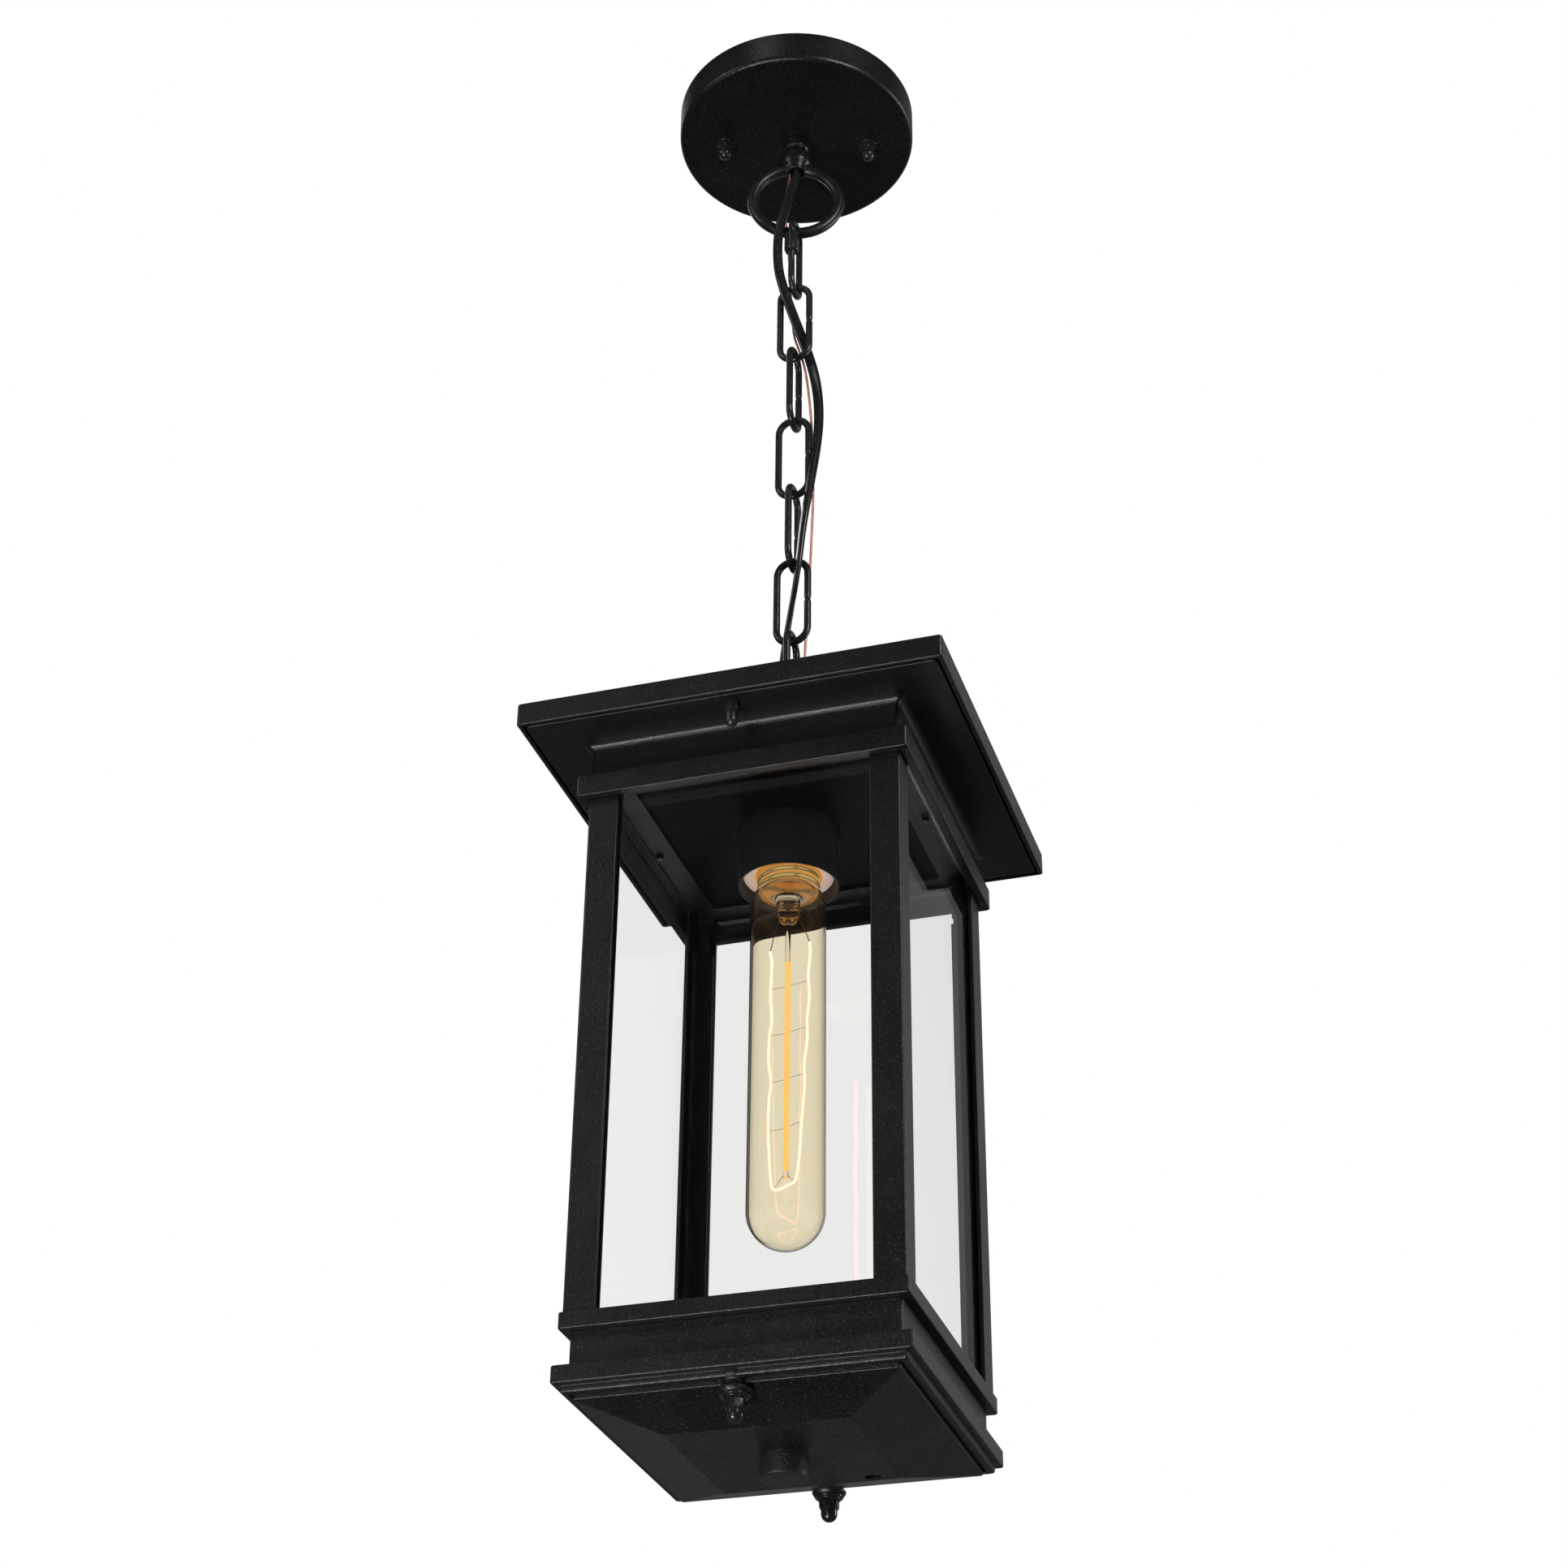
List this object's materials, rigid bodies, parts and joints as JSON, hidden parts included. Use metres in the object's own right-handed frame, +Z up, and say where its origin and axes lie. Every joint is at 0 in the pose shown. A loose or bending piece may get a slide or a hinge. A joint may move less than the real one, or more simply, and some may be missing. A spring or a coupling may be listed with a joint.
{
  "type": "hanging lantern",
  "caption": "Square glass lantern with a hipped roof that hangs from a round ceiling canopy on a ring, a quick link and a short chain, with one tubular lamp inside.",
  "frame": {"origin": "centre of the canopy's open rim, in the plane of the ceiling", "axes": "+Z up; the lantern's faces look along X and Y, -Y is its front; the canopy's strap is turned 17.3 degrees about Z"},
  "size_m": [0.1778, 0.1778, 0.6889],
  "materials": {
    "black_iron": "fine textured black powder coat",
    "black_wire": "smooth black paint on steel wire",
    "black_fasteners": "satin black",
    "zinc_steel": "zinc plated",
    "brass": "plain brass",
    "green_screw": "green painted screw",
    "pane_glass": "clear flat glass",
    "bulb_glass": "faintly amber blown glass",
    "filament": "glowing wire",
    "ceramic": "glazed ceramic",
    "cord": "glossy black insulation",
    "copper": "bare stranded copper"
  },
  "bodies": {
    "ceiling": {"crossbar": "zinc_steel", "canopy": "black_iron", "canopy_studs": "black_fasteners", "canopy_washers": "black_fasteners", "canopy_cap_nuts": "black_fasteners", "ceiling_nipple": "zinc_steel", "nipple_locknuts": "zinc_steel", "hang_loop": "black_iron", "ground_screw": "green_screw", "supply_leads": "cord", "supply_cord": "cord", "ground_wire": "copper"},
    "quick_link": {"quick_link": "black_wire"},
    "sleeve": {"quick_link_sleeve": "black_wire"},
    "link_1": {"chain_link_1": "black_wire"},
    "link_2": {"chain_link_2": "black_wire"},
    "link_3": {"chain_link_3": "black_wire"},
    "link_4": {"chain_link_4": "black_wire"},
    "link_5": {"chain_link_5": "black_wire"},
    "link_6": {"chain_link_6": "black_wire"},
    "lantern": {"base_neck": "black_iron", "base_studs": "black_fasteners", "bracket_screws": "black_fasteners", "centre_contact": "brass", "corner_nuts": "zinc_steel", "corner_screws": "black_fasteners", "glass_back": "pane_glass", "glass_channels": "black_iron", "glass_front": "pane_glass", "glass_left": "pane_glass", "glass_right": "pane_glass", "lamp_socket": "ceramic", "post_back_left": "black_iron", "post_back_right": "black_iron", "post_front_left": "black_iron", "post_front_right": "black_iron", "roof_loop": "black_iron", "roof_nipple": "zinc_steel", "roof_nipple_nuts": "zinc_steel", "roof_shell": "black_iron", "roof_tabs": "zinc_steel", "screw_shell": "brass", "sill_collar": "black_iron", "socket_bracket": "black_iron", "socket_cup": "black_iron", "socket_leads": "cord", "socket_screws": "black_fasteners", "soffit": "black_iron", "soffit_cap_nuts": "black_fasteners", "soffit_studs": "black_fasteners", "top_collar": "black_iron"},
    "bulb": {"bulb_cap": "brass", "bulb_glass": "bulb_glass", "bulb_stem": "bulb_glass", "filament": "filament", "filament_supports": "filament"},
    "base": {"base_cover": "black_iron", "base_knob": "black_iron", "base_washers": "black_fasteners", "base_cap_nuts": "black_fasteners"}
  },
  "joints": [
    {"name": "quick_link_swing", "type": "hinge", "parent": "ceiling", "child": "quick_link", "pos_m": [0, 0, -0.0755], "axis": [1, 0, 0], "range_deg": [-15, 15], "deforming": ["supply_cord", "ground_wire"]},
    {"name": "sleeve_slide", "type": "slide", "parent": "quick_link", "child": "sleeve", "axis": [0, 0, -1], "range_m": [0, 0.008]},
    {"name": "link_1_swing", "type": "hinge", "parent": "quick_link", "child": "link_1", "pos_m": [0, 0, -0.1138], "axis": [0, 1, 0], "range_deg": [-15, 15], "deforming": ["supply_cord", "ground_wire"]},
    {"name": "link_2_swing", "type": "hinge", "parent": "link_1", "child": "link_2", "pos_m": [0, 0, -0.154], "axis": [1, 0, 0], "range_deg": [-15, 15], "deforming": ["supply_cord", "ground_wire"]},
    {"name": "link_3_swing", "type": "hinge", "parent": "link_2", "child": "link_3", "pos_m": [0, 0, -0.1942], "axis": [0, 1, 0], "range_deg": [-15, 15], "deforming": ["supply_cord", "ground_wire"]},
    {"name": "link_4_swing", "type": "hinge", "parent": "link_3", "child": "link_4", "pos_m": [0, 0, -0.2344], "axis": [1, 0, 0], "range_deg": [-15, 15], "deforming": ["supply_cord", "ground_wire"]},
    {"name": "link_5_swing", "type": "hinge", "parent": "link_4", "child": "link_5", "pos_m": [0, 0, -0.2746], "axis": [0, 1, 0], "range_deg": [-15, 15], "deforming": ["supply_cord", "ground_wire"]},
    {"name": "link_6_swing", "type": "hinge", "parent": "link_5", "child": "link_6", "pos_m": [0, 0, -0.3148], "axis": [1, 0, 0], "range_deg": [-15, 15], "deforming": ["supply_cord", "ground_wire"]},
    {"name": "lantern_swing", "type": "hinge", "parent": "link_6", "child": "lantern", "pos_m": [0, 0, -0.355], "axis": [0, 1, 0], "range_deg": [-15, 15], "deforming": ["supply_cord", "ground_wire"]},
    {"name": "bulb_unscrew", "type": "slide", "parent": "lantern", "child": "bulb", "axis": [0, 0, -1], "range_m": [0, 0.025]},
    {"name": "base_cover_drop", "type": "slide", "parent": "lantern", "child": "base", "axis": [0, 0, -1], "range_m": [0, 0.03]}
  ]
}
